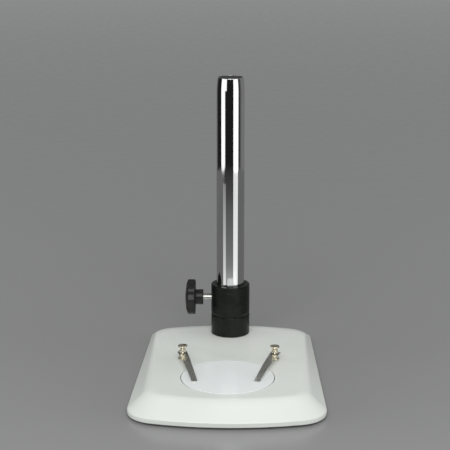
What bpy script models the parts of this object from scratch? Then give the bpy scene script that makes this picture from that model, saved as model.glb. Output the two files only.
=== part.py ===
"""Pillar table stand for a stereo microscope: white cast base, chrome pillar, clamp collar, stage clips.

Metres, +Z up.  The origin is the centre of the footprint on the table, +X is the user's right
when the pillar stands at the back, and +Y points from the stage towards the pillar.
"""
import math

import bmesh
import bpy
from mathutils import Vector

# ---------------------------------------------------------------- driving dimensions
GAP = 0.0003                 # clearance left between touching pieces

BASE_LENGTH = 0.292          # front to back
WAIST_Y = -0.002             # where both half widths below are measured
FOOT_PROUD = 0.0025          # rubber feet below the casting's rim
BASE_HEIGHT = 0.024
LIP_HEIGHT = 0.0052          # upright edge under the sloping apron
APRON_RUN = 0.0180           # nominal horizontal run of the apron
APRON_ROUND = 0.014          # radius where the apron meets the deck
WALL = 0.0045
ROOF = 0.006
DECK_Z = FOOT_PROUD + BASE_HEIGHT

# Two outlines share one construction: front and back arcs, straight sides and rounded corners.
# A positive taper closes the sides in towards the back.
RIM = {
    "half_width": 0.1009, "taper": 0.039,
    "front": -BASE_LENGTH / 2, "front_arc": 0.321, "front_corner": 0.034,
    "back": BASE_LENGTH / 2, "back_arc": 1.2, "back_corner": 0.018,
}
DECK = {
    "half_width": 0.0863, "taper": -0.020,
    "front": -0.1283, "front_arc": 0.239, "front_corner": 0.0224,
    "back": 0.1152, "back_arc": 0.2232, "back_corner": 0.0268,
}

PILLAR_Y = BASE_LENGTH / 2 - 0.058
PILLAR_RADIUS = 0.016
PILLAR_BORE = 0.0135
PILLAR_LENGTH = 0.3022
PILLAR_TAPER_LENGTH = 0.011
PILLAR_TAPER = 0.0014
PILLAR_BOSS_RADIUS = 0.026
PILLAR_BOSS_DEPTH = 0.014
PILLAR_PLUG_LENGTH = 0.020

COLLAR_RADIUS = 0.0224
COLLAR_BORE = PILLAR_RADIUS + GAP
FLANGE_HEIGHT = 0.0232
WASHER_THICKNESS = 0.0005
COLLAR_BOTTOM = 0.0243       # above the deck
COLLAR_TOP = 0.0600
CLAMP_HEIGHT = 0.0430        # clamp screw axis above the deck

STUD_RADIUS = 0.004
STUD_BORE = STUD_RADIUS + GAP
PAD_LENGTH = 0.0020
KNOB_HUB_FACE = 0.0318       # distances from the pillar axis
KNOB_DISC_BACK = 0.0410
KNOB_SOCKET_END = 0.0453
KNOB_FRONT = 0.0527
KNOB_RADIUS = 0.0210
KNOB_HUB_RADIUS = 0.0090
KNOB_LOBES = 8
KNOB_FLUTE_DEPTH = 0.0016

STAGE_Y = PILLAR_Y - 0.1497
STAGE_RADIUS = 0.0500
STAGE_RECESS_RADIUS = 0.0508
STAGE_BOSS_RADIUS = STAGE_RECESS_RADIUS + 0.004
STAGE_RECESS_DEPTH = 0.0048
STAGE_PROUD = 0.0004
STAGE_FLOOR = 0.0037
PUSH_HOLE_RADIUS = 0.008

CLIP_X = 0.0512
CLIP_Y = PILLAR_Y - 0.0940
CLIP_STUD_RADIUS = 0.002
CLIP_BORE = CLIP_STUD_RADIUS + GAP
CLIP_BOSS_RADIUS = 0.007
CLIP_BOSS_DEPTH = 0.010
CLIP_STUD_TAIL = 0.0058      # stud below its boss
CLIP_WASHER_THICKNESS = 0.0008
LEAF_HEIGHT = 0.0068         # underside of the leaf at its post, above the deck
LEAF_THICKNESS = 0.0005
LEAF_TAIL = 0.0055
LEAF_REACH = 0.0732
LEAF_FLAT = 0.008            # stays level this far from the post
LEAF_END_CHAMFER = 0.001
LEAF_REAR_WIDTH = 0.0110
LEAF_TIP_WIDTH = 0.0063
LEFT_CLIP_TURN = math.radians(12.8)      # leaf swung in from straight ahead
RIGHT_CLIP_TURN = math.radians(15.7)

SCREW_CIRCLE = 0.01935       # flange screws, round the pillar
SCREW_RADIUS = 0.0015
SCREW_COUNT = 3
SCREW_REACH = 0.011          # screw tips above the deck
BOLT_RADIUS = 0.004
BOLT_HOLE_RADIUS = 0.0045
BOLT_TAP_RADIUS = BOLT_RADIUS + GAP

FOOT_RADIUS = 0.009
FOOT_HEIGHT = 0.0052
FOOT_BOSS_RADIUS = 0.0105
FOOT_SCREW_RADIUS = 0.0015
FOOT_SCREW_REACH = FOOT_HEIGHT + 0.0095
FRONT_FOOT = (0.078, -0.112)
BACK_FOOT = (0.074, 0.112)

RIB_X = 0.040
RIB_THICKNESS = 0.003
RIB_BOTTOM = 0.0125
OVERCUT = 0.001              # how far a cutter runs past the face it opens

ROUND = 48                   # facets on a turned piece
SMALL_ROUND = 24


# ---------------------------------------------------------------- helpers
def clear_scene():
    for item in list(bpy.data.objects):
        bpy.data.objects.remove(item, do_unlink=True)


def paint(name, colour, roughness, metallic):
    """One Principled material, made once for each name."""
    if name in bpy.data.materials:
        return bpy.data.materials[name]
    material = bpy.data.materials.new(name)
    material.use_nodes = True
    shader = material.node_tree.nodes["Principled BSDF"]
    shader.inputs["Base Color"].default_value = (*colour, 1.0)
    shader.inputs["Roughness"].default_value = roughness
    shader.inputs["Metallic"].default_value = metallic
    return material


def white_paint():
    return paint("white_paint", (0.66, 0.69, 0.65), 0.38, 0.0)


def plate_white():
    return paint("plate_white", (0.74, 0.77, 0.77), 0.3, 0.0)


def chrome():
    return paint("chrome", (0.80, 0.80, 0.80), 0.06, 1.0)


def black_anodised():
    return paint("black_anodised", (0.018, 0.020, 0.018), 0.32, 0.6)


def black_plastic():
    return paint("black_plastic", (0.020, 0.022, 0.020), 0.38, 0.0)


def zinc_steel():
    return paint("zinc_steel", (0.55, 0.56, 0.56), 0.32, 1.0)


def nickel():
    return paint("nickel", (0.72, 0.67, 0.54), 0.16, 1.0)


def spring_steel():
    return paint("spring_steel", (0.34, 0.34, 0.32), 0.22, 1.0)


def rubber():
    return paint("rubber", (0.020, 0.020, 0.020), 0.85, 0.0)


def nylon():
    return paint("nylon", (0.10, 0.10, 0.10), 0.55, 0.0)


def finish(name, bm, material, sharp=math.radians(32)):
    """Turns a bmesh into a named object, shaded smooth except at its real edges."""
    bmesh.ops.recalc_face_normals(bm, faces=bm.faces[:])
    mesh = bpy.data.meshes.new(name)
    bm.to_mesh(mesh)
    bm.free()
    mesh.shade_smooth()
    mesh.set_sharp_from_angle(angle=sharp)
    if material is not None:
        mesh.materials.append(material)
    item = bpy.data.objects.new(name, mesh)
    bpy.context.scene.collection.objects.link(item)
    return item


def add_turned(bm, profile, segments, at=(0.0, 0.0)):
    """Spins (radius, height) points into a closed body; the profile ends on the axis or closes on itself."""
    verts = [bm.verts.new((radius, 0.0, height)) for radius, height in profile]
    edges = [bm.edges.new(pair) for pair in zip(verts, verts[1:])]
    if profile[0][0] > 0.0:
        edges.append(bm.edges.new((verts[-1], verts[0])))
    before = set(bm.verts) - set(verts)
    bmesh.ops.spin(bm, geom=verts + edges, cent=(0, 0, 0), axis=(0, 0, 1),
                   angle=2 * math.pi, steps=segments, use_merge=True)
    body = [vert for vert in bm.verts if vert not in before]
    bmesh.ops.translate(bm, verts=body, vec=(at[0], at[1], 0.0))
    bmesh.ops.remove_doubles(bm, verts=body, dist=1e-6)


def turned(name, profile, material, segments=ROUND):
    """A solid of revolution about Z."""
    bm = bmesh.new()
    add_turned(bm, profile, segments)
    return finish(name, bm, material)


def prism(name, outline, low, high, material):
    """A straight solid between two heights over a flat outline of (x, y) points."""
    bm = bmesh.new()
    face = bm.faces.new([bm.verts.new((x, y, low)) for x, y in outline])
    grown = bmesh.ops.extrude_face_region(bm, geom=[face])
    top = [part for part in grown["geom"] if isinstance(part, bmesh.types.BMVert)]
    bmesh.ops.translate(bm, verts=top, vec=(0, 0, high - low))
    return finish(name, bm, material)


def lofted(name, rings, material):
    """A closed solid skinned over equal rings of points, from the first ring to the last."""
    bm = bmesh.new()
    loops = [[bm.verts.new(point) for point in ring] for ring in rings]
    count = len(loops[0])
    for lower, upper in zip(loops, loops[1:]):
        for i in range(count):
            j = (i + 1) % count
            bm.faces.new((lower[i], lower[j], upper[j], upper[i]))
    bm.faces.new(list(reversed(loops[0])))
    bm.faces.new(loops[-1])
    return finish(name, bm, material)


def cylinder(name, radius, low, high, at=(0.0, 0.0), segments=SMALL_ROUND):
    """A plain cylinder for a cutter or a joined shank."""
    profile = [(0.0, low), (radius, low), (radius, high), (0.0, high)]
    item = turned(name, profile, None, segments)
    item.location = (at[0], at[1], 0.0)
    return item


def box(name, low, high):
    """A plain block between two corners, for a cutter."""
    outline = [(low[0], low[1]), (high[0], low[1]), (high[0], high[1]), (low[0], high[1])]
    return prism(name, outline, low[2], high[2], None)


def guide(item):
    """Marks an object as a cutter, which isn't part of the stand."""
    item.hide_render = True
    item.display_type = "WIRE"
    return item


def cut(target, cutter):
    """Takes the cutter's space out of the target."""
    modifier = target.modifiers.new("cut_" + cutter.name, "BOOLEAN")
    modifier.operation = "DIFFERENCE"
    modifier.solver = "EXACT"
    modifier.object = guide(cutter)


def point_left(item, height):
    """Lays a piece turned about Z along -X, starting at the pillar axis."""
    item.location = (0.0, PILLAR_Y, DECK_Z + height)
    item.rotation_euler = (0.0, -math.pi / 2, 0.0)


# ---------------------------------------------------------------- base casting
def corner_centre(shape, arc_y, arc_radius, radius, side):
    """Centre of the corner that rounds a side wall into the front (side -1) or back (side 1) arc."""
    normal = Vector((math.cos(shape["taper"]), math.sin(shape["taper"])))
    along = Vector((-normal.y, normal.x))
    inward = normal * (normal.dot(Vector((shape["half_width"], WAIST_Y))) - radius)
    to_start = inward - Vector((0.0, arc_y))
    half_b = to_start.dot(along)
    c = to_start.length_squared - (arc_radius - radius) ** 2
    return inward + along * (-half_b + side * math.sqrt(half_b * half_b - c))


def arc_points(centre, radius, start, end, count):
    step = (end - start) / (count - 1)
    return [Vector((centre[0] + radius * math.cos(start + step * i),
                    centre[1] + radius * math.sin(start + step * i))) for i in range(count)]


def outline(shape, inset):
    """Points round one outline, moved inwards by the inset."""
    front_y = shape["front"] + shape["front_arc"]
    back_y = shape["back"] - shape["back_arc"]
    front = corner_centre(shape, front_y, shape["front_arc"], shape["front_corner"], -1)
    back = corner_centre(shape, back_y, shape["back_arc"], shape["back_corner"], 1)
    front_turn = math.atan2(front.y - front_y, front.x)
    back_turn = math.atan2(back.y - back_y, back.x)
    side_turn = shape["taper"]
    right = arc_points((0.0, front_y), shape["front_arc"] - inset, -math.pi / 2, front_turn, 7)
    right += arc_points(front, shape["front_corner"] - inset, front_turn, side_turn, 8)[1:]
    right += arc_points(back, shape["back_corner"] - inset, side_turn, back_turn, 8)
    right += arc_points((0.0, back_y), shape["back_arc"] - inset, back_turn, math.pi / 2, 5)[1:]
    left = [Vector((-point.x, point.y)) for point in reversed(right[1:-1])]
    return right + left


def base_ring(share, z, inset=0.0):
    """A ring part of the way from the rim (share 0) to the edge of the deck (share 1)."""
    pairs = zip(outline(RIM, inset), outline(DECK, inset))
    return [(*rim.lerp(deck, share), z) for rim, deck in pairs]


def apron_profile():
    """(share, height) points up the apron: the straight slope and the round into the deck."""
    rise = BASE_HEIGHT - LIP_HEIGHT
    slope = math.atan2(rise, APRON_RUN)
    tangent = APRON_ROUND * math.tan(slope / 2)
    centre_inset = APRON_RUN + tangent
    centre_z = DECK_Z - APRON_ROUND
    points = [(0.0, FOOT_PROUD + LIP_HEIGHT)]
    steps = 4
    for i in range(steps + 1):
        angle = slope * (1 - i / steps)
        run = centre_inset - APRON_ROUND * math.sin(angle)
        points.append((run / APRON_RUN, centre_z + APRON_ROUND * math.cos(angle)))
    return points


def base_cavity():
    """The hollow under the deck, less the bosses and ribs that stand in it."""
    roof_z = DECK_Z - ROOF
    rings = [base_ring(0.0, FOOT_PROUD - OVERCUT, WALL),
             base_ring(0.0, FOOT_PROUD + LIP_HEIGHT, WALL),
             base_ring(1.0, roof_z, WALL)]
    cavity = lofted("cavity", rings, None)
    top = DECK_Z
    posts = [("pillar_boss", PILLAR_BOSS_RADIUS, DECK_Z - PILLAR_BOSS_DEPTH, (0.0, PILLAR_Y)),
             ("stage_boss", STAGE_BOSS_RADIUS,
              DECK_Z - STAGE_RECESS_DEPTH - STAGE_FLOOR, (0.0, STAGE_Y))]
    for side, x in (("left", -CLIP_X), ("right", CLIP_X)):
        posts.append((side + "_clip_boss", CLIP_BOSS_RADIUS, DECK_Z - CLIP_BOSS_DEPTH, (x, CLIP_Y)))
    for name, at in foot_places().items():
        posts.append((name + "_boss", FOOT_BOSS_RADIUS, FOOT_HEIGHT + GAP, at))
    for name, radius, low, at in posts:
        cut(cavity, cylinder(name, radius, low, top, at))
    half = RIB_THICKNESS / 2
    for side, x in (("left", -RIB_X), ("right", RIB_X)):
        low = (x - half, -BASE_LENGTH / 2, RIB_BOTTOM)
        high = (x + half, BASE_LENGTH / 2, top)
        cut(cavity, box(side + "_rib", low, high))
    return cavity


def foot_places():
    return {
        "front_left_foot": (-FRONT_FOOT[0], FRONT_FOOT[1]),
        "front_right_foot": (FRONT_FOOT[0], FRONT_FOOT[1]),
        "back_left_foot": (-BACK_FOOT[0], BACK_FOOT[1]),
        "back_right_foot": (BACK_FOOT[0], BACK_FOOT[1]),
    }


def screw_places():
    turns = [math.radians(90) + 2 * math.pi * i / SCREW_COUNT for i in range(SCREW_COUNT)]
    return [(SCREW_CIRCLE * math.cos(t), PILLAR_Y + SCREW_CIRCLE * math.sin(t)) for t in turns]


def deck_openings():
    """The stage recess with its push-out hole, and every bolt, screw and clip hole: one cutter."""
    floor = DECK_Z - STAGE_RECESS_DEPTH
    through = DECK_Z + OVERCUT
    bm = bmesh.new()
    recess = [(0.0, 0.0), (PUSH_HOLE_RADIUS, 0.0), (PUSH_HOLE_RADIUS, floor),
              (STAGE_RECESS_RADIUS, floor), (STAGE_RECESS_RADIUS, through), (0.0, through)]
    add_turned(bm, recess, ROUND, (0.0, STAGE_Y))
    pins = [((0.0, PILLAR_Y), BOLT_HOLE_RADIUS, through)]
    pins += [(at, SCREW_RADIUS + GAP, through) for at in screw_places()]
    pins += [((x, CLIP_Y), CLIP_BORE, through) for x in (-CLIP_X, CLIP_X)]
    pins += [(at, FOOT_SCREW_RADIUS + GAP, FOOT_SCREW_REACH + OVERCUT) for at in foot_places().values()]
    for at, radius, high in pins:
        add_turned(bm, [(0.0, 0.0), (radius, 0.0), (radius, high), (0.0, high)], 16, at)
    return finish("deck_openings", bm, None)


def base_casting():
    edge = 0.0008
    rings = [base_ring(0.0, FOOT_PROUD, edge), base_ring(0.0, FOOT_PROUD + edge)]
    rings += [base_ring(share, z) for share, z in apron_profile()]
    casting = lofted("base_casting", rings, white_paint())
    cut(casting, base_cavity())
    cut(casting, deck_openings())
    return casting


# ---------------------------------------------------------------- feet
def hexagon(flats):
    """Corner points of a hexagon, from its size across the flats."""
    corner = flats / math.sqrt(3)
    turns = [math.radians(60 * i) for i in range(6)]
    return [(corner * math.cos(turn), corner * math.sin(turn)) for turn in turns]


def foot_and_screw(name, at):
    """A rubber foot with a recessed screw, whose head never touches the table."""
    recess = 0.0044
    web = 0.0036
    bore = FOOT_SCREW_RADIUS + GAP
    edge = 0.0010
    profile = [(bore, web), (recess, web), (recess, 0.0), (FOOT_RADIUS - edge, 0.0),
               (FOOT_RADIUS, edge), (FOOT_RADIUS, FOOT_HEIGHT), (bore, FOOT_HEIGHT)]
    foot = turned(name, profile, rubber(), 20)
    head = recess - 2 * GAP
    head_low = 0.0008
    head_top = web - GAP
    shank = FOOT_SCREW_RADIUS
    tip = FOOT_SCREW_REACH
    profile = [(0.0, head_low), (head - 0.0012, head_low + 0.0001), (head, head_low + 0.0011),
               (head, head_top), (shank, head_top), (shank, tip - 0.0006), (shank - 0.0006, tip), (0.0, tip)]
    screw = turned(name + "_screw", profile, zinc_steel(), 16)
    slot = cross_slot(name + "_slot", 0.0, head_low + 0.0013, 0.0046, 0.0008)
    for item in (foot, screw, slot):
        item.location = (*at, 0.0)
    cut(screw, slot)


def cross_slot(name, low, high, length, width):
    """A plus-shaped driver recess."""
    a = length / 2
    b = width / 2
    outline = [(a, -b), (a, b), (b, b), (b, a), (-b, a), (-b, b),
               (-a, b), (-a, -b), (-b, -b), (-b, -a), (b, -a), (b, -b)]
    return prism(name, outline, low, high, None)


# ---------------------------------------------------------------- pillar and its fixings
def pillar():
    end = PILLAR_LENGTH
    tip_radius = PILLAR_RADIUS - PILLAR_TAPER
    profile = [
        (PILLAR_BORE, GAP), (PILLAR_RADIUS - 0.0005, GAP), (PILLAR_RADIUS, GAP + 0.0005),
        (PILLAR_RADIUS, end - PILLAR_TAPER_LENGTH),
        (tip_radius, end - 0.0004), (tip_radius - 0.0004, end), (PILLAR_BORE, end),
    ]
    tube = turned("pillar", profile, chrome(), 64)
    tube.location = (0.0, PILLAR_Y, DECK_Z)


def pillar_plug():
    """The tapped plug fixed in the foot of the tube."""
    radius = PILLAR_BORE - GAP
    hole = BOLT_TAP_RADIUS
    top = GAP + PILLAR_PLUG_LENGTH
    blind = top - 0.004
    profile = [(0.0, blind), (hole, blind), (hole, GAP), (radius, GAP), (radius, top), (0.0, top)]
    plug = turned("pillar_plug", profile, zinc_steel(), 32)
    plug.location = (0.0, PILLAR_Y, DECK_Z)


def pillar_end_cap():
    """A push-in cap: a disc over a thin skirt."""
    radius = PILLAR_BORE - GAP
    top = PILLAR_LENGTH
    skirt = radius - 0.0016
    disc_low = top - 0.0022
    skirt_low = top - 0.012
    profile = [(0.0, disc_low), (skirt, disc_low), (skirt, skirt_low), (radius - 0.0004, skirt_low),
               (radius, skirt_low + 0.0008), (radius, top - 0.0005), (radius - 0.0006, top),
               (0.0, top + 0.0001)]
    cap = turned("pillar_end_cap", profile, black_plastic(), 40)
    cap.location = (0.0, PILLAR_Y, DECK_Z)


def pillar_bolt():
    """The hexagon bolt and washer that pull the pillar down on the casting from below."""
    washer_top = -PILLAR_BOSS_DEPTH - GAP
    washer_low = washer_top - 0.0016
    inner = BOLT_RADIUS + 0.0004
    outer = 0.0085
    profile = [(inner, washer_low), (outer, washer_low), (outer, washer_top), (inner, washer_top)]
    washer = turned("pillar_bolt_washer", profile, zinc_steel(), 28)
    head_top = washer_low - GAP
    bolt = prism("pillar_bolt", hexagon(0.013), head_top - 0.0053, head_top, zinc_steel())
    tip = PILLAR_PLUG_LENGTH - 0.006
    shank = cylinder("pillar_bolt_shank", BOLT_RADIUS, head_top - OVERCUT, tip)
    join = bolt.modifiers.new("shank", "BOOLEAN")
    join.operation = "UNION"
    join.solver = "EXACT"
    join.object = guide(shank)
    for item in (washer, bolt, shank):
        item.location = (0.0, PILLAR_Y, DECK_Z)


def pillar_flange():
    """The fixed lower ring round the foot of the pillar."""
    chamfer = 0.0006
    low = GAP
    high = FLANGE_HEIGHT
    profile = [(COLLAR_BORE, low), (COLLAR_RADIUS, low), (COLLAR_RADIUS, high - chamfer),
               (COLLAR_RADIUS - chamfer, high), (COLLAR_BORE, high)]
    flange = turned("pillar_flange", profile, black_anodised(), 56)
    flange.location = (0.0, PILLAR_Y, DECK_Z)
    tap_top = DECK_Z + SCREW_REACH + 0.002
    for i, at in enumerate(screw_places(), 1):
        tap = cylinder(f"flange_tap_{i}", SCREW_RADIUS + GAP, DECK_Z - OVERCUT, tap_top, at, 20)
        cut(flange, tap)


def flange_screws():
    """Cap screws that hold the flange down from under the casting."""
    head = 0.00275
    edge = 0.0003
    socket = 0.0013
    head_top = -PILLAR_BOSS_DEPTH - GAP
    head_low = head_top - 0.003
    socket_top = head_low + 0.0018
    tip = SCREW_REACH
    for i, at in enumerate(screw_places(), 1):
        profile = [(0.0, socket_top), (socket, socket_top), (socket, head_low),
                   (head - edge, head_low), (head, head_low + edge), (head, head_top),
                   (SCREW_RADIUS, head_top), (SCREW_RADIUS, tip - 0.0005),
                   (SCREW_RADIUS - 0.0005, tip), (0.0, tip)]
        screw = turned(f"flange_screw_{i}", profile, zinc_steel(), 16)
        screw.location = (*at, DECK_Z)


# ---------------------------------------------------------------- clamp collar and its screw
def collar_washer():
    """The thin slip ring in the seam between the flange and the clamp collar."""
    low = FLANGE_HEIGHT + GAP
    high = low + WASHER_THICKNESS
    outer = COLLAR_RADIUS - 0.0008
    profile = [(COLLAR_BORE, low), (outer, low), (outer, high), (COLLAR_BORE, high)]
    washer = turned("collar_washer", profile, nylon(), 40)
    washer.location = (0.0, PILLAR_Y, DECK_Z)


def clamp_collar():
    """The sliding ring, bored from its left side for the clamp screw."""
    low = COLLAR_BOTTOM
    high = COLLAR_TOP
    edge = 0.0012
    bore_edge = 0.0006
    profile = [(COLLAR_BORE + bore_edge, low), (COLLAR_RADIUS - 0.0009, low), (COLLAR_RADIUS, low + 0.0020),
               (COLLAR_RADIUS, high - edge), (COLLAR_RADIUS - edge, high), (COLLAR_BORE + bore_edge, high),
               (COLLAR_BORE, high - bore_edge), (COLLAR_BORE, low + bore_edge)]
    collar = turned("clamp_collar", profile, black_anodised(), 56)
    collar.location = (0.0, PILLAR_Y, DECK_Z)
    start = PILLAR_RADIUS - 0.006
    mouth = COLLAR_RADIUS - 0.0010
    end = COLLAR_RADIUS + 0.0006
    hole = [(0.0, start), (STUD_BORE, start), (STUD_BORE, mouth), (STUD_BORE + end - mouth, end), (0.0, end)]
    bore = turned("stud_bore", hole, None, 20)
    point_left(bore, CLAMP_HEIGHT)
    cut(collar, bore)


def clamp_pad():
    """The soft tip of the clamp screw, which presses on the pillar."""
    radius = STUD_RADIUS - 0.0002
    edge = 0.0004
    near = PILLAR_RADIUS + GAP
    far = near + PAD_LENGTH
    profile = [(0.0, near), (radius - edge, near), (radius, near + edge), (radius, far), (0.0, far)]
    pad = turned("clamp_pad", profile, nickel(), 20)
    point_left(pad, CLAMP_HEIGHT)


def clamp_stud():
    """The clamp screw, fixed in the knob."""
    edge = 0.0008
    near = PILLAR_RADIUS + PAD_LENGTH + 2 * GAP
    far = KNOB_SOCKET_END - GAP
    profile = [(0.0, near), (STUD_RADIUS - edge, near), (STUD_RADIUS, near + edge),
               (STUD_RADIUS, far), (0.0, far)]
    stud = turned("clamp_stud", profile, chrome(), 20)
    point_left(stud, CLAMP_HEIGHT)


def lobed_ring(radius, flute, height, count=48):
    """A ring of points whose radius dips by the flute depth between the lobes."""
    ring = []
    for i in range(count):
        turn = 2 * math.pi * i / count
        dip = flute * (0.5 - 0.5 * math.cos(KNOB_LOBES * turn)) ** 1.5
        ring.append(((radius - dip) * math.cos(turn), (radius - dip) * math.sin(turn), height))
    return ring


def clamp_knob():
    """A hub and a lobed disc with a domed front, lofted from the pillar side outwards."""
    hub = KNOB_HUB_RADIUS
    rim = KNOB_RADIUS
    deep = KNOB_FLUTE_DEPTH
    back = KNOB_DISC_BACK
    edge = 0.0012
    shoulder = KNOB_FRONT - 0.0032
    rings = [lobed_ring(hub - edge / 2, 0.0, KNOB_HUB_FACE),
             lobed_ring(hub, 0.0, KNOB_HUB_FACE + edge / 2),
             lobed_ring(hub - 0.0003, 0.0, back - 0.0010),
             lobed_ring(hub + 0.0010, 0.0, back),
             lobed_ring(rim - edge, deep, back),
             lobed_ring(rim, deep, back + edge),
             lobed_ring(rim - 0.0002, deep, shoulder - edge),
             lobed_ring(rim - 0.0014, deep, shoulder + 0.0004),
             lobed_ring(rim - 0.0058, deep * 0.4, KNOB_FRONT - 0.0013),
             lobed_ring(rim - 0.0125, 0.0, KNOB_FRONT - 0.0003),
             lobed_ring(0.0030, 0.0, KNOB_FRONT)]
    knob = lofted("clamp_knob", rings, black_plastic())
    point_left(knob, CLAMP_HEIGHT)
    socket = cylinder("knob_socket", STUD_BORE, KNOB_HUB_FACE - OVERCUT, KNOB_SOCKET_END)
    point_left(socket, CLAMP_HEIGHT)
    cut(knob, socket)


# ---------------------------------------------------------------- stage
def stage_plate():
    """The loose round plate let into the deck, standing just proud of it."""
    low = DECK_Z - STAGE_RECESS_DEPTH + GAP
    high = DECK_Z + STAGE_PROUD
    edge = 0.0004
    profile = [(0.0, low), (STAGE_RADIUS - edge, low), (STAGE_RADIUS, low + edge),
               (STAGE_RADIUS, high - edge), (STAGE_RADIUS - edge, high), (0.0, high)]
    plate = turned("stage_plate", profile, plate_white(), 64)
    plate.location = (0.0, STAGE_Y, 0.0)


# ---------------------------------------------------------------- stage clips
def leaf_drop(along):
    """How far the leaf has bent down at a distance along it from the post."""
    full = LEAF_HEIGHT - STAGE_PROUD - GAP
    share = max(0.0, along - LEAF_FLAT) / (LEAF_REACH - LEAF_FLAT)
    return full * share ** 2


def leaf_half_width(along):
    share = (along + LEAF_TAIL) / (LEAF_REACH + LEAF_TAIL)
    return 0.5 * (LEAF_TIP_WIDTH + (LEAF_REAR_WIDTH - LEAF_TIP_WIDTH) * (1 - share) ** 1.6)


def clip_spring(name, hole):
    """The leaf: a tapering strip along -Y, flat at its post and bent down to the stage."""
    steps = 16
    rings = []
    for i in range(steps + 1):
        along = -LEAF_TAIL + (LEAF_REACH + LEAF_TAIL) * i / steps
        half = leaf_half_width(along)
        if i in (0, steps):
            half -= LEAF_END_CHAMFER
        low = LEAF_HEIGHT - leaf_drop(along)
        high = low + LEAF_THICKNESS
        rings.append([(-half, -along, low), (half, -along, low), (half, -along, high), (-half, -along, high)])
    leaf = lofted(name, rings, spring_steel())
    cut(leaf, hole)
    return leaf


def clip_post(name):
    """Stud, neck and mushroom head, turned in one piece."""
    stud = CLIP_STUD_RADIUS
    edge = 0.0004
    bottom = -CLIP_BOSS_DEPTH - CLIP_STUD_TAIL
    shoulder = LEAF_HEIGHT + LEAF_THICKNESS + GAP
    neck = 0.0031
    flare = 0.0047
    head = 0.0053
    profile = [
        (0.0, bottom), (stud - edge, bottom), (stud, bottom + edge), (stud, shoulder),
        (neck + edge, shoulder), (neck + 0.0005, shoulder + edge), (neck + 0.0005, 0.0104),
        (neck, 0.0109), (neck, 0.0120), (0.0038, 0.0130), (flare - 0.0002, 0.0140), (flare, 0.0147),
        (head - 0.0001, 0.0149), (head, 0.0152), (head, 0.0158), (head - edge, 0.0164),
        (0.0030, 0.0168), (0.0, 0.0169),
    ]
    return turned(name, profile, nickel(), 24)


def clip_bush(name):
    """Flanged sleeve that carries the leaf above the deck."""
    sleeve = 0.0031
    flange = 0.00515
    flange_top = 0.0018
    top = LEAF_HEIGHT - GAP
    profile = [(CLIP_BORE, GAP), (flange - 0.00015, GAP), (flange, 0.0006), (flange, 0.0015),
               (flange - 0.00025, flange_top), (sleeve, flange_top), (sleeve, top), (CLIP_BORE, top)]
    return turned(name, profile, nickel(), 24)


def clip_washer(name):
    outer = 0.0045
    top = -CLIP_BOSS_DEPTH - GAP
    low = top - CLIP_WASHER_THICKNESS
    profile = [(CLIP_BORE, low), (outer, low), (outer, top), (CLIP_BORE, top)]
    return turned(name, profile, zinc_steel(), 20)


def clip_nut(name):
    """The nut under the deck, with its bore as a cutter beside it."""
    top = -CLIP_BOSS_DEPTH - CLIP_WASHER_THICKNESS - 2 * GAP
    low = top - 0.0032
    nut = prism(name, hexagon(0.007), low, top, zinc_steel())
    thread = cylinder(name + "_thread", CLIP_BORE, low - OVERCUT, top + OVERCUT)
    cut(nut, thread)
    return [nut, thread]


def stage_clip(side, x, turn):
    """One clip, every piece of it turned about its post."""
    hole = cylinder(side + "_leaf_hole", CLIP_BORE + 0.0001, LEAF_HEIGHT - OVERCUT, LEAF_HEIGHT + 2 * OVERCUT)
    pieces = [clip_post(side + "_clip_post"), clip_bush(side + "_clip_bush"),
              clip_washer(side + "_clip_washer"), hole, clip_spring(side + "_clip_spring", hole)]
    pieces += clip_nut(side + "_clip_nut")
    for piece in pieces:
        piece.location = (x, CLIP_Y, DECK_Z)
        piece.rotation_euler = (0.0, 0.0, turn)


# ---------------------------------------------------------------- the stand
def main():
    clear_scene()
    base_casting()
    for name, at in foot_places().items():
        foot_and_screw(name, at)
    pillar()
    pillar_plug()
    pillar_end_cap()
    pillar_bolt()
    pillar_flange()
    flange_screws()
    collar_washer()
    clamp_collar()
    clamp_pad()
    clamp_stud()
    clamp_knob()
    stage_plate()
    stage_clip("left", -CLIP_X, LEFT_CLIP_TURN)
    stage_clip("right", CLIP_X, -RIGHT_CLIP_TURN)


main()
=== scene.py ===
"""Looks of the microscope pillar stand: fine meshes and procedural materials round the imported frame.

Metres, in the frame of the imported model: +Z up the pillar, +Y from the stage towards the pillar.
"""

import math

import bmesh
import bpy
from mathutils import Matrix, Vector


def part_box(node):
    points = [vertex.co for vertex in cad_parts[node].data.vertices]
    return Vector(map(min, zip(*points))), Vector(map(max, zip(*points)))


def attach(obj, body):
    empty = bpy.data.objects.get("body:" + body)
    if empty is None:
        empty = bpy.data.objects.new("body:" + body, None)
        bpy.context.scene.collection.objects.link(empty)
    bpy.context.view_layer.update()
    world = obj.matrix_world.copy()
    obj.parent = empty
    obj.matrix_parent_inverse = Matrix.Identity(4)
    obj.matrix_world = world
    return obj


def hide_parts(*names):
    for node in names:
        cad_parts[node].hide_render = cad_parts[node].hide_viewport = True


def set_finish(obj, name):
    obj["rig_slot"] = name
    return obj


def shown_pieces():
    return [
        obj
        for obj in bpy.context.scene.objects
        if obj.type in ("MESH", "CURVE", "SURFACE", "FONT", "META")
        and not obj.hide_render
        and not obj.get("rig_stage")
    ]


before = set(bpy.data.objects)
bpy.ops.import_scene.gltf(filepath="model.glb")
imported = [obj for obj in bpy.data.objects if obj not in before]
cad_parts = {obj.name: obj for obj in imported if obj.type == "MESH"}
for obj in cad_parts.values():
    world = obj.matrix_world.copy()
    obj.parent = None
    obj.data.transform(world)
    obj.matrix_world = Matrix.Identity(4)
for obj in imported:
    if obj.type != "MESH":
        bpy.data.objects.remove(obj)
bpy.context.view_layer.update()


# ---------------------------------------------------------------- places read from the frame
def middle(node):
    low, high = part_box(node)
    return (low + high) / 2


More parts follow.
